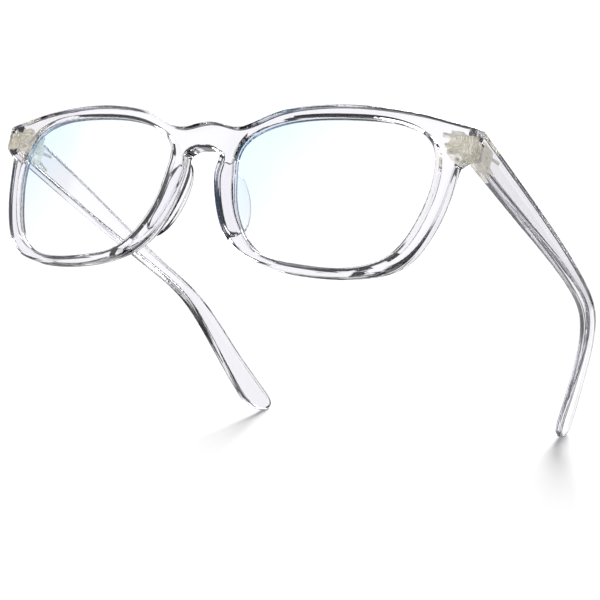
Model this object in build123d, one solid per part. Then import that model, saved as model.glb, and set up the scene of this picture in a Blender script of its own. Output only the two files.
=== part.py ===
from build123d import *
import os
from math import cos, radians, sin

# Blue light glasses. Millimetres. Modelled as worn, looking towards -Y, then set down on a table.

# Front
FACE_RADIUS = 292.6  # wrap of the front around the face
FRONT_THICK = 4.1
FRONT_LEAN = 10.0  # degrees, top edge forward
FRONT_ROUND = 0.8

# Lens and its groove
LENS_FRONT = 1.30  # depth of the lens behind the front face
LENS_THICK = 1.80
LENS_BITE = 0.80  # how far the lens goes into the rim
LENS_GAP = 0.06
LENS_BEVEL = 0.45
OFFSET_STEPS = 40  # points used to grow the opening

# Outlines of the +X half, in the plane of the front: (across, up)
BROW = [(0, 9.9), (3, 9.6), (8, 8.6), (17.6, 12), (28, 14.5), (42, 15.2), (56, 14.1), (71, 11.4)]
END_PIECE = [(71, 11.4), (71, 5.1), (67.2, 1.8)]
RIM = [(67.2, 1.8), (66.2, -5), (63.5, -15), (58.4, -23.1), (49, -27), (36, -27.9), (22.5, -26),
       (13.2, -21.4), (7.7, -13.6), (4.8, -4.5), (5.2, 0.2)]
KEYHOLE = [(5.2, 0.2), (3.6, 2.3), (0, 2.9)]
OPENING = [(9.9, -1), (11.4, 4.9), (17, 8.6), (27, 11.1), (41, 11.9), (53, 10.9), (60.2, 7.0),
           (62.2, -1.5), (60.2, -12), (55.2, -21.1), (46, -25.2), (33, -25.4), (20.6, -22.6),
           (13, -13.6)]

# Nose pad, a half-sunk egg on the back of the rim
PAD_SIZE = (3.5, 6.0, 10.2)  # half width, half depth, half height
PAD_AT = (9.0, 3.7, -9.8)  # across, depth, up
PAD_SPLAY = 24.0  # degrees, wider towards the face
PAD_SLANT = 20.0  # degrees, wider towards the chin
BOND_GAP = 0.05

# Temple, side view (back, up) and bend (along the paddle, across)
TEMPLE_BOTTOM = [(6, 6.2), (45, 6.2), (80, 6.3), (89, 5.7), (96, 3.9), (104, -1.0), (119, -14.3)]
TEMPLE_TIP = [(119, -14.3), (123.6, -16.6), (128.6, -16.1), (131.5, -13.4), (130, -10.4)]
TEMPLE_TOP = [(130, -10.4), (119, -3.2), (107, 4.8), (97, 8.7), (83, 10.3), (45, 12.7), (6, 14.4)]
PADDLE_SLOPE = 40.0  # degrees below level
BEND_OUTER = [(-8, 70.9), (30, 70.9), (52, 70.3), (64, 68.6), (76, 65.1), (92, 58.7), (118, 47.0)]
BEND_INNER = [(-8, 67.3), (30, 67.3), (52, 66.8), (64, 65.3), (76, 62.2), (92, 56.3), (118, 44.8)]
TEMPLE_ROUND = 0.8
BUTT_GAP = 0.35

# Hinge, five knuckles on an upright pin
HINGE_X = 64.9
HINGE_Y = 12.5
KNUCKLE_R = 1.85
KNUCKLE_BASE = 6.9
KNUCKLE_H = 1.06
KNUCKLE_GAP = 0.10
PIN_R = 0.55
FIXED_GAP = 0.03
RUNNING_GAP = 0.05
HEAD_R = 1.25
HEAD_H = 0.55
SLOT = (0.35, 0.30)  # width, depth
TIP_OUT = 0.35
PLATE_H = KNUCKLE_H * 5 + KNUCKLE_GAP * 4
PLATE_BITE = 0.03  # metal is this much bigger than its seat in the plastic

# At rest on a table
REST_TURN = 4.937  # degrees, brings rims and tips level


def half_turn_pair(shape):
    """Return the shape and its mirror image across the middle."""
    return shape, mirror(shape, about=Plane.YZ)


def upright(face, near, far):
    """Extrude a face drawn as (across, up) from depth near to depth far."""
    placed = Plane.XZ.offset(-near) * face
    return extrude(placed, -(far - near))


def shell(near, far):
    """Curved slab between two depths behind the front face."""
    ring = Circle(FACE_RADIUS - near) - Circle(FACE_RADIUS - far)
    return Pos(0, FACE_RADIUS, 0) * extrude(ring, 60, both=True)


def lean(shape):
    """Tip a shape from the plane of the front to where the front stands as worn."""
    return Rot(FRONT_LEAN, 0, 0) * shape


def front_face():
    """Outer outline of the whole front."""
    half = [
        Spline(*BROW, tangents=[(1, 0), (15, -2.7)]),
        Polyline(*END_PIECE),
        Spline(*RIM, tangents=[(-0.2, -1), (0.2, 1)]),
        Spline(*KEYHOLE, tangents=[(0.2, 1), (-1, 0)]),
    ]
    whole = []
    for edge in half:
        whole += [edge, mirror(edge, about=Plane.YZ)]
    face = make_face(whole)
    corners = face.vertices().sort_by(Axis.X)
    return fillet([v for v in corners if abs(v.X) > 66], 0.9)


def aperture_face(grow=0.0):
    """Opening of the +X rim, grown outwards when asked."""
    loop = Spline(*OPENING, periodic=True)
    if grow:
        spots = [step / OFFSET_STEPS for step in range(OFFSET_STEPS)]
        outward = [Vector(-(loop % t).Y, (loop % t).X) * grow for t in spots]
        loop = Spline(*[loop @ t + away for t, away in zip(spots, outward)], periodic=True)
    return make_face([loop.trim(0, 0.5), loop.trim(0.5, 1)])


def aperture_pair(grow, near, far):
    """Both openings as one tool between two depths."""
    one = upright(aperture_face(grow), near, far)
    return one + mirror(one, about=Plane.YZ)


def front_slab():
    """Front with its openings, before the groove and the hinge seats."""
    slab = upright(front_face(), -3, 22) & shell(0, FRONT_THICK)
    slab = slab - aperture_pair(0, -3, 22)
    rims = [e for e in slab.edges() if e.length > 2.0 and e.geom_type != GeomType.LINE]
    return fillet(rims, FRONT_ROUND)


def lens():
    """Lens of the +X side with a bevelled edge."""
    blank = upright(aperture_face(LENS_BITE - LENS_GAP), -3, 22)
    body = blank & shell(LENS_FRONT + LENS_GAP, LENS_FRONT + LENS_THICK - LENS_GAP)
    return chamfer([e for e in body.edges() if e.geom_type != GeomType.LINE], LENS_BEVEL)


def nose_pad():
    """Egg on the back of the +X rim, trimmed to the back face."""
    egg = scale(Sphere(1), by=PAD_SIZE)
    egg = Pos(*PAD_AT) * Rot(0, -PAD_SLANT, 0) * Rot(0, 0, -PAD_SPLAY) * egg
    return egg & shell(FRONT_THICK + BOND_GAP, FRONT_THICK + 20)


def temple():
    """Arm of the +X side: side view crossed with the bend."""
    side = make_face([Spline(*TEMPLE_BOTTOM, tangents=[(1, 0), (1, -0.85)]),
                      Spline(*TEMPLE_TIP, tangents=[(1, -0.85), (-1, 0.75)]),
                      Spline(*TEMPLE_TOP, tangents=[(-1, 0.75), (-1, 0.05)]),
                      Line(TEMPLE_TOP[-1], TEMPLE_BOTTOM[0])])
    plank = extrude(Plane.YZ * side, 90)
    turn = radians(PADDLE_SLOPE)
    bend_plane = Plane(origin=(0, 0, 0), x_dir=(1, 0, 0), z_dir=(0, sin(turn), cos(turn)))
    inner = [(x, t) for t, x in BEND_INNER]
    outer = [(x, t) for t, x in BEND_OUTER]
    band = make_face([Line(inner[0], inner[1]),
                      Spline(*inner[1:], tangents=[(0, 1), (-0.44, 1)]),
                      Line(inner[-1], outer[-1]),
                      Spline(*reversed(outer[1:]), tangents=[(0.44, -1), (0, -1)]),
                      Line(outer[1], outer[0]),
                      Line(outer[0], inner[0])])
    arm = plank & extrude(bend_plane * band, 80, both=True)
    arm = arm & lean(shell(FRONT_THICK + BUTT_GAP, FACE_RADIUS - 1))
    return fillet(arm.edges().filter_by(lambda e: e.length > 9.0), TEMPLE_ROUND)


def block(x0, x1, y0, y1, z0, z1, grow=0.0):
    """Box between two corners, grown on every side."""
    size = (x1 - x0 + 2 * grow, y1 - y0 + 2 * grow, z1 - z0 + 2 * grow)
    middle = ((x0 + x1) / 2, (y0 + y1) / 2, (z0 + z1) / 2)
    return Pos(*middle) * Box(*size)


def knuckle(step, arm_box, bore):
    """One knuckle with the arm that joins it to its plate."""
    base = KNUCKLE_BASE + step * (KNUCKLE_H + KNUCKLE_GAP)
    middle = Pos(HINGE_X, HINGE_Y, base + KNUCKLE_H / 2)
    body = middle * Cylinder(KNUCKLE_R, KNUCKLE_H)
    x0, x1, y0, y1 = arm_box
    body = body + block(x0, x1, y0, y1, base, base + KNUCKLE_H)
    return body - middle * Cylinder(bore, KNUCKLE_H + 1)


def front_seat(grow=0.0):
    """Plate, post and barbed bars sunk in the end piece."""
    base = KNUCKLE_BASE
    seat = block(-1.2, 1.8, -0.9, 0.7, base, base + PLATE_H, grow)
    seat += block(0.6, 1.8, -2.7, -0.5, base + 2.2, base + 4.0, grow)
    for rise, turn, reach in ((3.6, -4, 4.4), (2.6, 24, 3.6)):
        bar = block(-reach, 0, -0.7, 0.7, -0.35, 0.35, grow)
        seat += Pos(1.6, -2.0, base + rise) * Rot(0, -turn, 0) * bar
    return Pos(HINGE_X - 0.3, 9.7, 0) * Rot(0, 0, 12.8) * seat


def front_hinge():
    """Leaf in the front, with three knuckles."""
    leaf = front_seat()
    for step in (0, 2, 4):
        leaf += knuckle(step, (HINGE_X - 1.5, HINGE_X + 1.5, 9.8, HINGE_Y), PIN_R + FIXED_GAP)
    return leaf


def temple_seat(grow=0.0):
    """Plate and barbed bars sunk in the inner face of the arm."""
    base = KNUCKLE_BASE
    seat = block(67.0, 68.3, HINGE_Y - 1.0, HINGE_Y + 6.0, base, base + PLATE_H, grow)
    for rise, turn in ((1.6, 12), (4.0, -12)):
        bar = block(-0.5, 0.5, 0, 4.6, -0.35, 0.35, grow)
        seat += Pos(67.9, HINGE_Y + 5.5, base + rise) * Rot(-turn, 0, 0) * bar
    return seat


def temple_hinge():
    """Leaf in the arm, with two knuckles."""
    leaf = temple_seat()
    for step in (1, 3):
        leaf += knuckle(step, (HINGE_X, 67.4, HINGE_Y - 0.2, HINGE_Y + 1.8), PIN_R + RUNNING_GAP)
    return leaf


def hinge_screw():
    """Slotted screw from the top, its end showing below."""
    top = KNUCKLE_BASE + PLATE_H
    length = PLATE_H + TIP_OUT
    shaft = Pos(0, 0, top - length / 2) * Cylinder(PIN_R, length)
    head = Pos(0, 0, top + HEAD_H / 2) * Cylinder(HEAD_R, HEAD_H)
    head = chamfer(head.edges().sort_by(Axis.Z)[-1:], 0.2)
    slot = Pos(0, 0, top + HEAD_H) * Box(HEAD_R * 3, SLOT[0], SLOT[1] * 2)
    return Pos(HINGE_X, HINGE_Y, 0) * (shaft + head - slot)


def front_frame():
    """Front with lens grooves and hinge seats."""
    frame = front_slab()
    frame = frame - (aperture_pair(LENS_BITE, -3, 22) & shell(LENS_FRONT, LENS_FRONT + LENS_THICK))
    frame = lean(frame)
    for seat in half_turn_pair(front_seat(-PLATE_BITE)):
        frame = frame - seat
    return frame


def all_pieces():
    """Every piece as worn, by node name. +X is the wearer's left."""
    arm = temple() - temple_seat(-PLATE_BITE)
    sided = {
        "lens": lean(lens()),
        "nose_pad": lean(nose_pad()),
        "front_hinge": front_hinge(),
        "temple": arm,
        "temple_hinge": temple_hinge(),
        "hinge_screw": hinge_screw(),
    }
    pieces = {"front_frame": front_frame()}
    for name, shape in sided.items():
        left, right = half_turn_pair(shape)
        pieces["left_" + name] = left
        pieces["right_" + name] = right
    return pieces


def main():
    """Turn the glasses to their resting pose and save every piece."""
    os.makedirs("parts", exist_ok=True)
    pieces = {name: Rot(-REST_TURN, 0, 0) * shape for name, shape in all_pieces().items()}
    boxes = [shape.bounding_box() for shape in pieces.values()]
    middle = (min(box.min.Y for box in boxes) + max(box.max.Y for box in boxes)) / 2
    rest = Pos(0, -middle, -min(box.min.Z for box in boxes))
    pin = rest * Rot(-REST_TURN, 0, 0) * Pos(HINGE_X, HINGE_Y, KNUCKLE_BASE)
    print("rest shift", rest.position, "hinge pin", pin.position)
    for name, shape in pieces.items():
        placed = rest * shape
        print(name, round(placed.volume, 2), len(placed.solids()), placed.bounding_box())
        export_step(placed, "parts/" + name + ".step")


main()
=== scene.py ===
import logging
import math
from dataclasses import dataclass
from enum import Enum

import bmesh
import bpy
from mathutils import Matrix, Vector


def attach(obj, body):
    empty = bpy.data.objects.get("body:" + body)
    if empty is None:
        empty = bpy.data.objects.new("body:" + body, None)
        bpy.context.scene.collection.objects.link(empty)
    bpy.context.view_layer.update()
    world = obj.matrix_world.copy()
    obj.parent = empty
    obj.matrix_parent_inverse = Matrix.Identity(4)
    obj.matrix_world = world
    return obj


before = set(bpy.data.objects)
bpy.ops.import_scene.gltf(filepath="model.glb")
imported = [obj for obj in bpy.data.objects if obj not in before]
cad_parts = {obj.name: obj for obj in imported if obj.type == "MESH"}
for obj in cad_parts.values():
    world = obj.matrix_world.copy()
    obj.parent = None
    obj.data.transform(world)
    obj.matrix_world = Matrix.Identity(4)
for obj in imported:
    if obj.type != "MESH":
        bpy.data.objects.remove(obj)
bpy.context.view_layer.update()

Colour = tuple[float, float, float]
Point = tuple[float, float, float]
Span = tuple[float, float]

log = logging.getLogger("glasses")

WHITE: Colour = (1.0, 1.0, 1.0)
BLACK: Colour = (0.0, 0.0, 0.0)
OPAQUE = 1.0
NOISE_MEAN = 0.5
DEGREES = 180.0 / math.pi

MATRIX_SIZE = 4
MIRROR_X = Matrix.Scale(-1.0, MATRIX_SIZE, (1.0, 0.0, 0.0))

# A colour Mix node's sockets go by number, because their names repeat.
MIX_FACTOR, MIX_LOW, MIX_HIGH, MIX_RESULT = 0, 6, 7, 2


class Side(Enum):
    """The wearer's left or right, by the word that starts the names on that side."""

    LEFT = "left"
    RIGHT = "right"


@dataclass(frozen=True)
class Grain:
    """A noise pattern: features to the metre, octaves, and fineness by axis."""

    scale: float
    detail: float = 3.0
    stretch: Point = (1.0, 1.0, 1.0)


class Term:
    """A value in a shader, a socket or a number, whose arithmetic adds Math nodes."""

    def __init__(self, web: "Web", value: object) -> None:
        """Wraps a value.

        Args:
            web: The node tree that new Math nodes go into.
            value: A node's output socket, or a number.
        """
        self.web = web
        self.value = value

    def _math(self, operation: str, *others: object) -> "Term":
        """Adds one Math node.

        Args:
            operation: The Math node's operation.
            others: The values after this one.

        Returns:
            The node's output.
        """
        values = dict(enumerate((self, *others)))
        node = self.web.add("ShaderNodeMath", {"operation": operation}, values)
        return Term(self.web, node.outputs[0])

    def __add__(self, other: object) -> "Term":
        """This value plus another."""
        return self._math("ADD", other)

    __radd__ = __add__

    def __sub__(self, other: object) -> "Term":
        """This value less another."""
        return self._math("SUBTRACT", other)

    def __rsub__(self, other: object) -> "Term":
        """Another value less this one."""
        return Term(self.web, other)._math("SUBTRACT", self)

    def __mul__(self, other: object) -> "Term":
        """This value times another."""
        return self._math("MULTIPLY", other)

    __rmul__ = __mul__

    def __truediv__(self, other: object) -> "Term":
        """This value divided by another."""
        return self._math("DIVIDE", other)

    def __abs__(self) -> "Term":
        """This value without its sign."""
        return self._math("ABSOLUTE")

    def sign(self) -> "Term":
        """Plus one where this value is above nought, and minus one elsewhere."""
        return self._math("GREATER_THAN", 0.0) * 2.0 - 1.0

    def root(self) -> "Term":
        """The square root of this value."""
        return self._math("SQRT")

    def wave(self) -> "Term":
        """The sine of this value, made to run from nought to one."""
        return self._math("SINE") * 0.5 + 0.5

    def bearing(self, east: "Term") -> "Term":
        """The angle, in radians, of the way whose north part is this value."""
        return self._math("ARCTAN2", east)

    def fade(self, span: Span) -> "Term":
        """A smooth step from nought to one.

        Args:
            span: Where the step starts and where it ends.

        Returns:
            The stepped value, held between nought and one.
        """
        node = self.web.add(
            "ShaderNodeMapRange",
            {"interpolation_type": "SMOOTHSTEP", "clamp": True},
            {"Value": self, "From Min": span[0], "From Max": span[1]},
        )
        return Term(self.web, node.outputs["Result"])


@dataclass
class Web:
    """A node tree, with the one method that adds a node."""

    tree: bpy.types.NodeTree

    def add(
        self, kind: str, settings: dict | None = None, inputs: dict | None = None
    ) -> bpy.types.Node:
        """Adds a node.

        Args:
            kind: The node's type.
            settings: Its settings, set first.
            inputs: The value or link of each input, by name or number.

        Returns:
            The new node.
        """
        node = self.tree.nodes.new(kind)
        for name, value in (settings or {}).items():
            setattr(node, name, value)
        for name, value in (inputs or {}).items():
            value = value.value if isinstance(value, Term) else value
            if isinstance(value, bpy.types.NodeSocket):
                self.tree.links.new(value, node.inputs[name])
            else:
                node.inputs[name].default_value = value
        return node

    def place(self) -> bpy.types.NodeSocket:
        """The object's own coordinates, in metres."""
        return self.add("ShaderNodeTexCoord").outputs["Object"]

    def axes(self, vector: bpy.types.NodeSocket) -> tuple[Term, Term, Term]:
        """Takes a vector apart.

        Args:
            vector: The vector's socket.

        Returns:
            Its X, Y and Z.
        """
        parts = self.add("ShaderNodeSeparateXYZ", {}, {"Vector": vector})
        return tuple(Term(self, output) for output in parts.outputs)

    def noise(self, grain: Grain) -> Term:
        """Noise on the object's own coordinates.

        Args:
            grain: The pattern.

        Returns:
            The noise, about one half on average.
        """
        mapped = self.add(
            "ShaderNodeMapping", {}, {"Vector": self.place(), "Scale": grain.stretch}
        )
        node = self.add(
            "ShaderNodeTexNoise",
            {},
            {
                "Vector": mapped.outputs[0],
                "Scale": grain.scale,
                "Detail": grain.detail,
            },
        )
        return Term(self, node.outputs["Fac"])

    def mix(self, mask: object, low: object, high: object) -> bpy.types.NodeSocket:
        """A colour between two others.

        Args:
            mask: Nought for the first and one for the second.
            low: The first colour, as three numbers or a socket.
            high: The second colour.

        Returns:
            The mixed colour's socket.
        """
        first, second = (
            (*colour, OPAQUE) if isinstance(colour, tuple) else colour
            for colour in (low, high)
        )
        node = self.add(
            "ShaderNodeMix",
            {"data_type": "RGBA"},
            {MIX_FACTOR: mask, MIX_LOW: first, MIX_HIGH: second},
        )
        return node.outputs[MIX_RESULT]

    def grey(self, shade: Term) -> bpy.types.NodeSocket:
        """A grey of a given brightness.

        Args:
            shade: The brightness.

        Returns:
            The grey's socket.
        """
        node = self.add("ShaderNodeCombineXYZ", {}, {0: shade, 1: shade, 2: shade})
        return node.outputs[0]

    def bump(self, height: Term, strength: float, depth: float) -> bpy.types.NodeSocket:
        """A surface normal that follows a height.

        Args:
            height: The height, from nought to one.
            strength: How much of it shows.
            depth: What a height of one is, in metres.

        Returns:
            The normal's socket.
        """
        node = self.add(
            "ShaderNodeBump",
            {},
            {"Strength": strength, "Distance": depth, "Height": height},
        )
        return node.outputs[0]


@dataclass(frozen=True)
class Finish:
    """A finish with its own material."""

    name: str

    def make(self) -> bpy.types.Material:
        """Makes the material.

        Returns:
            A material whose nodes are this finish's own.
        """
        material = bpy.data.materials.new(self.name)
        material.use_nodes = True
        material.node_tree.nodes.clear()
        web = Web(material.node_tree)
        shader = web.add("ShaderNodeBsdfPrincipled", {}, self.sockets(web))
        surface = self.surface(web, shader.outputs[0])
        out = web.add("ShaderNodeOutputMaterial", {}, {"Surface": surface})
        self.fill(web, out)
        return material

    def sockets(self, web: Web) -> dict[str, object]:
        """The shader's sockets and what each is given."""
        raise NotImplementedError

    def surface(self, web: Web, shade: bpy.types.NodeSocket) -> bpy.types.NodeSocket:
        """What shows at the surface, which is the shader unless a finish adds to it."""
        return shade

    def fill(self, web: Web, out: bpy.types.Node) -> None:
        """Adds what fills the solid, which is nothing unless a finish says so."""


@dataclass(frozen=True)
class ClearPlastic(Finish):
    """Polished clear plastic: faint lilac, a slow mould ripple and fine scuffs."""

    tint: Colour = (0.895, 0.885, 0.925)
    warm: Colour = (0.910, 0.902, 0.918)
    depth_tint: Colour = (0.80, 0.79, 0.92)
    depth_rate: float = 30.0
    ripple: float = 0.10
    bend: float = 1.49
    slow: Grain = Grain(70.0, 2.0)
    scuffs: Grain = Grain(900.0, 4.0, (1.0, 0.25, 1.0))
    scuff_span: Span = (0.58, 0.74)
    specks: Grain = Grain(3200.0, 2.0)
    speck_span: Span = (0.66, 0.72)
    slow_height: float = 0.9
    scuff_height: float = 0.02
    height: float = 0.0006
    polish: float = 0.004
    scuff_rough: float = 0.02
    speck_rough: float = 0.015

    def sockets(self, web: Web) -> dict[str, object]:
        """Gives the shader its clear plastic.

        Args:
            web: The material's node tree.

        Returns:
            The shader's sockets and what each is given.
        """
        slow = web.noise(self.slow)
        scuffs = web.noise(self.scuffs).fade(self.scuff_span)
        specks = web.noise(self.specks).fade(self.speck_span)
        height = slow * self.slow_height + scuffs * self.scuff_height
        rough = self.polish + scuffs * self.scuff_rough + specks * self.speck_rough
        return {
            "Base Color": web.mix(slow, self.tint, self.warm),
            "Roughness": rough,
            "IOR": self.bend,
            "Transmission Weight": 1.0,
            "Normal": web.bump(height, self.ripple, self.height),
        }

    def fill(self, web: Web, out: bpy.types.Node) -> None:
        """Adds a trace of lilac that grows with thickness.

        Args:
            web: The material's node tree.
            out: The material's output node.
        """
        depth = web.add(
            "ShaderNodeVolumeAbsorption",
            {},
            {"Color": (*self.depth_tint, OPAQUE), "Density": self.depth_rate},
        )
        web.tree.links.new(depth.outputs[0], out.inputs["Volume"])


@dataclass(frozen=True)
class CoatedLens(Finish):
    """Hard-coated lens: painted blue reflection at the top, to the wearer's right; wipe
    marks.
    """

    clear: Colour = (0.992, 0.997, 1.0)
    blue: Colour = (0.74, 0.91, 1.0)
    gloss_tint: Colour = (0.75, 0.9, 1.0)
    # Painted glare: the colour and strength of the emission that makes the painted blue
    # reflection glow.
    painted_glare: Colour = (0.03, 0.30, 0.80)
    painted_glare_power: float = 0.18
    bend: float = 1.5
    # Where the painted blue reflection lies, across and up each lens.
    middle: float = 0.036
    reach: float = 0.030
    across_rate: float = -0.8
    level: float = 0.021
    upward_rate: float = 30.0
    cloud: Grain = Grain(45.0, 2.0)
    cloud_drift: float = 0.8
    painted_reflection_span: Span = (-0.3, 1.7)
    wipes: Grain = Grain(500.0, 5.0, (1.0, 1.0, 0.2))
    wipe_span: Span = (0.6, 0.8)
    polish: float = 0.002
    wipe_rough: float = 0.012
    swell: float = 0.03
    height: float = 0.0003

    def sockets(self, web: Web) -> dict[str, object]:
        """Gives the shader its coated lens.

        Args:
            web: The material's node tree.

        Returns:
            The shader's sockets and what each is given.
        """
        across, _, up = web.axes(web.place())
        # Painted reflection: the coating's blue reflection as colour, strongest high up
        # towards the wearer's right, its edge drifted by cloud noise.
        along = (across - across.sign() * self.middle) / self.reach
        slope = along * self.across_rate + (up - self.level) * self.upward_rate
        cloud = web.noise(self.cloud)
        drift = (cloud - NOISE_MEAN) * self.cloud_drift
        painted_reflection = (slope + drift).fade(self.painted_reflection_span)
        wipes = web.noise(self.wipes).fade(self.wipe_span)
        return {
            # Clear, tinted blue where the reflection is painted.
            "Base Color": web.mix(painted_reflection, self.clear, self.blue),
            "Roughness": self.polish + wipes * self.wipe_rough,
            "IOR": self.bend,
            "Transmission Weight": 1.0,
            "Specular Tint": (*self.gloss_tint, OPAQUE),
            # Painted glare: the painted reflection, cubed, glows blue as emission.
            "Emission Color": web.mix(painted_reflection * painted_reflection * painted_reflection, BLACK, self.painted_glare),
            "Emission Strength": self.painted_glare_power,
            "Normal": web.bump(cloud, self.swell, self.height),
        }


@dataclass(frozen=True)
class HingeMetal(Finish):
    """Pale warm nickel alloy, tumbled, lightly brushed, finely pitted; painted glow."""

    pale: Colour = (0.93, 0.91, 0.82)
    deep: Colour = (0.58, 0.55, 0.42)
    # Painted glow: emission that stands in for light piped in through the clear plastic.
    glow: float = 0.24
    brush: Grain = Grain(700.0, 3.0, (1.0, 1.0, 8.0))
    patches: Grain = Grain(420.0, 3.0)
    pits: Grain = Grain(2600.0, 2.0)
    pit_span: Span = (0.64, 0.7)
    patch_wear: float = 0.25
    brush_wear: float = 0.75
    worn_span: Span = (0.34, 0.58)
    metal: float = 0.45
    worn_metal: float = 0.2
    polish: float = 0.24
    patch_rough: float = 0.16
    pit_rough: float = 0.2
    brush_height: float = 0.7
    pit_height: float = 0.3
    relief: float = 0.25
    height: float = 0.00003

    def sockets(self, web: Web) -> dict[str, object]:
        """Gives the shader its hinge metal.

        Args:
            web: The material's node tree.

        Returns:
            The shader's sockets and what each is given.
        """
        brush = web.noise(self.brush)
        patches = web.noise(self.patches)
        pits = web.noise(self.pits).fade(self.pit_span)
        wear = patches * self.patch_wear + brush * self.brush_wear
        worn = wear.fade(self.worn_span)
        rough = self.polish + patches * self.patch_rough + pits * self.pit_rough
        height = brush * self.brush_height + pits * self.pit_height
        return {
            "Base Color": web.mix(worn, self.deep, self.pale),
            "Metallic": self.metal + worn * self.worn_metal,
            # Painted glow: the metal's own colours are given again as emission.
            "Emission Color": web.mix(worn, self.deep, self.pale),
            "Emission Strength": self.glow,
            "Roughness": rough,
            "Normal": web.bump(height, self.relief, self.height),
        }


@dataclass(frozen=True)
class TurnedSteel(Finish):
    """Bright turned steel: rings round an upright line through each screw, and grain."""

    pale: Colour = (0.74, 0.74, 0.75)
    deep: Colour = (0.42, 0.42, 0.44)
    axis_out: float = 0.0649
    axis_along: float = -0.05156
    ring: float = 0.00011
    grain: Grain = Grain(1800.0, 3.0)
    grain_span: Span = (0.3, 0.7)
    polish: float = 0.18
    grain_rough: float = 0.2
    ring_rough: float = 0.08
    ring_height: float = 0.6
    grain_height: float = 0.4
    relief: float = 0.2
    height: float = 0.00002

    def sockets(self, web: Web) -> dict[str, object]:
        """Gives the shader its turned steel.

        Args:
            web: The material's node tree.

        Returns:
            The shader's sockets and what each is given.
        """
        across, along, _ = web.axes(web.place())
        off_x = abs(across) - self.axis_out
        off_y = along - self.axis_along
        radius = (off_x * off_x + off_y * off_y).root()
        rings = (radius * (2 * math.pi / self.ring)).wave()
        grain = web.noise(self.grain)
        rough = self.polish + grain * self.grain_rough + rings * self.ring_rough
        height = rings * self.ring_height + grain * self.grain_height
        return {
            "Base Color": web.mix(grain.fade(self.grain_span), self.deep, self.pale),
            "Metallic": 1.0,
            "Roughness": rough,
            "Normal": web.bump(height, self.relief, self.height),
        }


@dataclass(frozen=True)
class PaleFloor(Finish):
    """Matt white floor that shows only its upper side."""

    cool: Colour = (0.90, 0.90, 0.905)
    plain: Colour = (0.91, 0.91, 0.91)
    grain: Grain = Grain(40.0, 3.0)
    rough: float = 0.85
    grain_rough: float = 0.1
    gloss: float = 0.1

    def sockets(self, web: Web) -> dict[str, object]:
        """Gives the shader its matt floor.

        Args:
            web: The material's node tree.

        Returns:
            The shader's sockets and what each is given.
        """
        grain = web.noise(self.grain)
        return {
            "Base Color": web.mix(grain, self.cool, self.plain),
            "Roughness": self.rough + grain * self.grain_rough,
            "Specular IOR Level": self.gloss,
        }

    def surface(self, web: Web, shade: bpy.types.NodeSocket) -> bpy.types.NodeSocket:
        """Leaves the plane's under side out.

        Args:
            web: The material's node tree.
            shade: The shader's output.

        Returns:
            The shader from above and nothing from below.
        """
        under = web.add("ShaderNodeNewGeometry").outputs["Backfacing"]
        gone = web.add("ShaderNodeBsdfTransparent").outputs[0]
        mix = web.add("ShaderNodeMixShader", {}, {0: under, 1: shade, 2: gone})
        return mix.outputs[0]


@dataclass
class Dressing:
    """Gives each CAD node its finish."""

    plastic: Finish = ClearPlastic("polished_clear_plastic")
    pad_plastic: Finish = ClearPlastic(
        "soft_clear_pad",
        tint=(0.965, 0.960, 0.975),
        warm=(0.970, 0.966, 0.970),
        ripple=0.05,
        bend=1.14,
    )
    lens: Finish = CoatedLens("coated_lens")
    metal: Finish = HingeMetal("pale_hinge_metal")
    steel: Finish = TurnedSteel("turned_screw_steel")

    def finish_of(self, node: str) -> Finish:
        """Finds the finish of a CAD node.

        Args:
            node: The node's name.

        Returns:
            Its finish.
        """
        if node.endswith("_lens"):
            return self.lens
        if node.endswith("_nose_pad"):
            return self.pad_plastic
        if node.endswith("_screw"):
            return self.steel
        if node.endswith("_hinge"):
            return self.metal
        return self.plastic

    def dress(self) -> None:
        """Puts every CAD node's finish in its material slots."""
        made: dict[str, bpy.types.Material] = {}
        for name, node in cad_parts.items():
            finish = self.finish_of(name)
            if finish.name not in made:
                made[finish.name] = finish.make()
            for slot in node.material_slots:
                slot.material = made[finish.name]
            log.info("%s is dressed in %s", name, finish.name)


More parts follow.
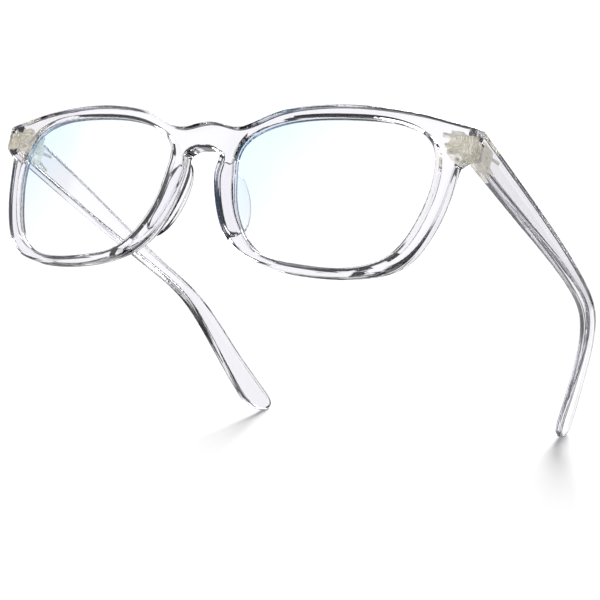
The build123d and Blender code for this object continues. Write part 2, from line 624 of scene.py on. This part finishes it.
@dataclass
class HingeComb:
    """The ribbed insert that keys each front hinge leaf into the end piece."""

    finish: Finish
    ribs: int = 5
    width: float = 0.0033
    height: float = 0.0046
    back: float = 0.0004
    rib_depth: float = 0.0007
    edge: float = 0.00007
    edge_steps: int = 2
    smooth_below: float = 35.0
    forward: float = 0.9
    centre: Point = (0.0685, -0.0550, 0.0358)
    turn: float = 13.0
    lean: float = -5.0

    @property
    def columns(self) -> int:
        """The ribs and the gaps between them."""
        return 2 * self.ribs - 1

    def build(self) -> None:
        """Builds the left comb, and the right one as its mirror image."""
        left = self._plate()
        self._cut_columns()
        self._raise_ribs(left)
        self._ease_edges()
        self._set_in_place(left)
        right = left.copy()
        right.data = left.data.copy()
        bpy.context.collection.objects.link(right)
        right.data.transform(MIRROR_X)
        right.data.flip_normals()
        for comb, side in ((left, Side.LEFT), (right, Side.RIGHT)):
            comb.name = f"{side.value}_hinge_comb"
            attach(comb, "front")
            log.info("%s is built", comb.name)

    def _plate(self) -> bpy.types.Object:
        """Starts the comb as a block the size of its back.

        Returns:
            The block, in edit mode with all of it selected.
        """
        bpy.ops.object.select_all(action="DESELECT")
        bpy.ops.mesh.primitive_cube_add(size=1.0)
        plate = bpy.context.active_object
        plate.data.materials.append(self.finish.make())
        bpy.ops.object.mode_set(mode="EDIT")
        bpy.ops.transform.resize(value=(self.width, self.back, self.height))
        return plate

    def _cut_columns(self) -> None:
        """Cuts the block upright, once at each side of each rib."""
        for step in range(1, self.columns):
            bpy.ops.mesh.select_all(action="SELECT")
            place = self.width * (step / self.columns - 0.5)
            bpy.ops.mesh.bisect(plane_co=(place, 0.0, 0.0), plane_no=(1.0, 0.0, 0.0))

    def _raise_ribs(self, plate: bpy.types.Object) -> None:
        """Raises every second column of the front face.

        Args:
            plate: The cut block.
        """
        bpy.ops.mesh.select_all(action="DESELECT")
        bpy.ops.mesh.select_mode(type="FACE")
        mesh = bmesh.from_edit_mesh(plate.data)
        for face in mesh.faces:
            middle = face.calc_center_median()
            column = int((middle.x / self.width + 0.5) * self.columns)
            face.select_set(face.normal.y < -self.forward and column % 2 == 0)
        bmesh.update_edit_mesh(plate.data)
        bpy.ops.mesh.extrude_region_move(
            TRANSFORM_OT_translate={"value": (0.0, -self.rib_depth, 0.0)}
        )

    def _ease_edges(self) -> None:
        """Rounds every edge a little."""
        bpy.ops.mesh.select_all(action="SELECT")
        bpy.ops.mesh.bevel(offset=self.edge, segments=self.edge_steps, affect="EDGES")
        bpy.ops.mesh.select_all(action="SELECT")
        bpy.ops.mesh.normals_make_consistent(inside=False)
        bpy.ops.object.mode_set(mode="OBJECT")
        bpy.ops.object.shade_smooth_by_angle(angle=math.radians(self.smooth_below))

    def _set_in_place(self, comb: bpy.types.Object) -> None:
        """Turns the comb with the end piece and moves it there.

        Args:
            comb: The comb, finished at the origin.
        """
        turn = Matrix.Rotation(math.radians(self.turn), MATRIX_SIZE, "Z")
        lean = Matrix.Rotation(math.radians(self.lean), MATRIX_SIZE, "X")
        comb.matrix_world = Matrix.Translation(self.centre) @ turn @ lean
        bpy.ops.object.transform_apply(location=True, rotation=True, scale=True)


@dataclass(frozen=True)
class Band:
    """A run of values that fades in over one span and out over another."""

    rise: Span
    fall: Span
    depth: float = 1.0

    def shade(self, value: Term) -> Term:
        """The band's depth where a value lies in it, and nought elsewhere."""
        return (value.fade(self.rise) - value.fade(self.fall)) * self.depth


@dataclass(frozen=True)
class Flag:
    """An upright dark strip of the surround, between two headings in degrees."""

    start: float
    end: float
    depth: float
    soft: float = 1.5

    def band(self) -> Band:
        """The strip's headings, soft at both sides."""
        rise, fall = ((at - self.soft, at + self.soft) for at in (self.start, self.end))
        return Band(rise, fall, self.depth)


@dataclass
class Studio:
    """The tilted pale floor, the soft light, the white surround and the camera."""

    tilt: float = 37.0
    floor_size: float = 3.0
    eye: Point = (0.2978, -0.4492, -0.1450)
    look: Point = (-0.5353, 0.7959, 0.2829)
    up: Point = (-0.0467, -0.3622, 0.9309)
    lens_mm: float = 124.47
    sensor_mm: float = 36.0
    near: float = 0.01
    key_from: Point = (-0.187, 0.541, 0.810)
    key_spread: float = 32.0
    key_power: float = 8.8
    flags: tuple[Flag, ...] = (
        Flag(101.0, 113.0, 1.0),
        Flag(149.0, 167.0, 0.4),
        Flag(-168.0, -146.0, 0.7),
        Flag(-123.0, -101.0, 0.6),
        Flag(-79.0, -56.0, 1.0),
        Flag(-33.0, -12.0, 1.0),
        Flag(12.0, 33.0, 0.5),
        Flag(57.0, 79.0, 1.0),
    )
    overhead: Band = Band((0.44, 0.48), (0.86, 0.92))
    underfoot: Band = Band((0.56, 0.60), (0.78, 0.84), 0.35)
    low_headings: Band = Band((102.0, 105.0), (133.0, 137.0))
    low_heights: Band = Band((-0.27, -0.23), (0.08, 0.11))
    low_depth: float = 0.85
    dark_span: Span = (0.0, 1.0)
    flag_depth: float = 0.97
    glow: float = 1.12
    fill: float = 0.25

    def build(self) -> None:
        """Builds the floor, the light, the surround and the camera."""
        self._floor()
        self._light()
        self._surround()
        self._camera()

    def _floor(self) -> None:
        """Lays the sloping floor so that it just touches the arms from below."""
        bpy.ops.object.select_all(action="DESELECT")
        bpy.ops.mesh.primitive_plane_add(size=self.floor_size)
        floor = bpy.context.active_object
        floor.name = "studio_floor"
        turn = Matrix.Rotation(math.radians(self.tilt), MATRIX_SIZE, "X")
        normal = turn.to_3x3() @ Vector((0.0, 0.0, 1.0))
        arms = [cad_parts[f"{side.value}_temple"] for side in Side]
        rest = min(normal.dot(v.co) for arm in arms for v in arm.data.vertices)
        floor.data.transform(Matrix.Translation(normal * rest) @ turn)
        floor.data.materials.append(PaleFloor("pale_floor").make())
        floor.visible_glossy = False
        floor.visible_transmission = False
        log.info("studio_floor is laid")

    def _light(self) -> None:
        """Hangs one wide soft key, up and behind, on the wearer's right."""
        key = bpy.data.lights.new("soft_key", "SUN")
        key.angle = math.radians(self.key_spread)
        key.energy = self.key_power
        lamp = bpy.data.objects.new("soft_key", key)
        aim = -Vector(self.key_from)
        lamp.rotation_euler = aim.to_track_quat("-Z", "Y").to_euler()
        bpy.context.collection.objects.link(lamp)
        log.info("soft_key is hung")

    def _brightness(self, web: Web) -> Term:
        """Works out the surround's brightness, dark where its flags stand.

        Args:
            web: The world's node tree.

        Returns:
            The brightness, by heading and height.
        """
        way = web.add("ShaderNodeTexCoord").outputs["Generated"]
        east, north, up = web.axes(way)
        heading = north.bearing(east) * DEGREES
        dark = self.overhead.shade(up) + self.underfoot.shade(up * -1.0)
        for flag in self.flags:
            dark = dark + flag.band().shade(heading)
        low = self.low_headings.shade(heading) * self.low_heights.shade(up)
        dark = dark + low * self.low_depth
        return self.glow * (1.0 - dark.fade(self.dark_span) * self.flag_depth)

    def _surround(self) -> None:
        """Sets a white surround whose dark flags draw the edges of clear plastic."""
        world = bpy.data.worlds.new("studio_surround")
        bpy.context.scene.world = world
        world.use_nodes = True
        world.node_tree.nodes.clear()
        web = Web(world.node_tree)
        seen_in_gloss = web.grey(self._brightness(web))
        ray = web.add("ShaderNodeLightPath").outputs
        even = (self.fill, self.fill, self.fill)
        unseen = web.mix(ray["Is Diffuse Ray"], seen_in_gloss, even)
        light = web.mix(ray["Is Camera Ray"], unseen, WHITE)
        back = web.add("ShaderNodeBackground", {}, {"Color": light, "Strength": 1.0})
        web.add("ShaderNodeOutputWorld", {}, {"Surface": back.outputs[0]})
        bpy.context.scene.view_settings.view_transform = "Standard"
        log.info("studio_surround is set")

    def _camera(self) -> None:
        """Sets the camera in front, low on the wearer's left, looking up and across."""
        data = bpy.data.cameras.new("studio_camera")
        data.sensor_width = self.sensor_mm
        data.lens = self.lens_mm
        data.clip_start = self.near
        camera = bpy.data.objects.new("studio_camera", data)
        back = -Vector(self.look).normalized()
        right = Vector(self.up).cross(back).normalized()
        top = back.cross(right)
        turn = Matrix((right, top, back)).transposed().to_4x4()
        camera.matrix_world = Matrix.Translation(self.eye) @ turn
        bpy.context.collection.objects.link(camera)
        bpy.context.scene.camera = camera
        log.info("studio_camera is set")


def main() -> None:
    """Dresses the model and builds what stands round it."""
    logging.basicConfig(level=logging.INFO, format="%(name)s: %(message)s")
    Dressing().dress()
    # The combs share the hinge metal's painted glow.
    HingeComb(HingeMetal("pale_comb_metal")).build()
    Studio().build()


if __name__ == "__main__":
    main()
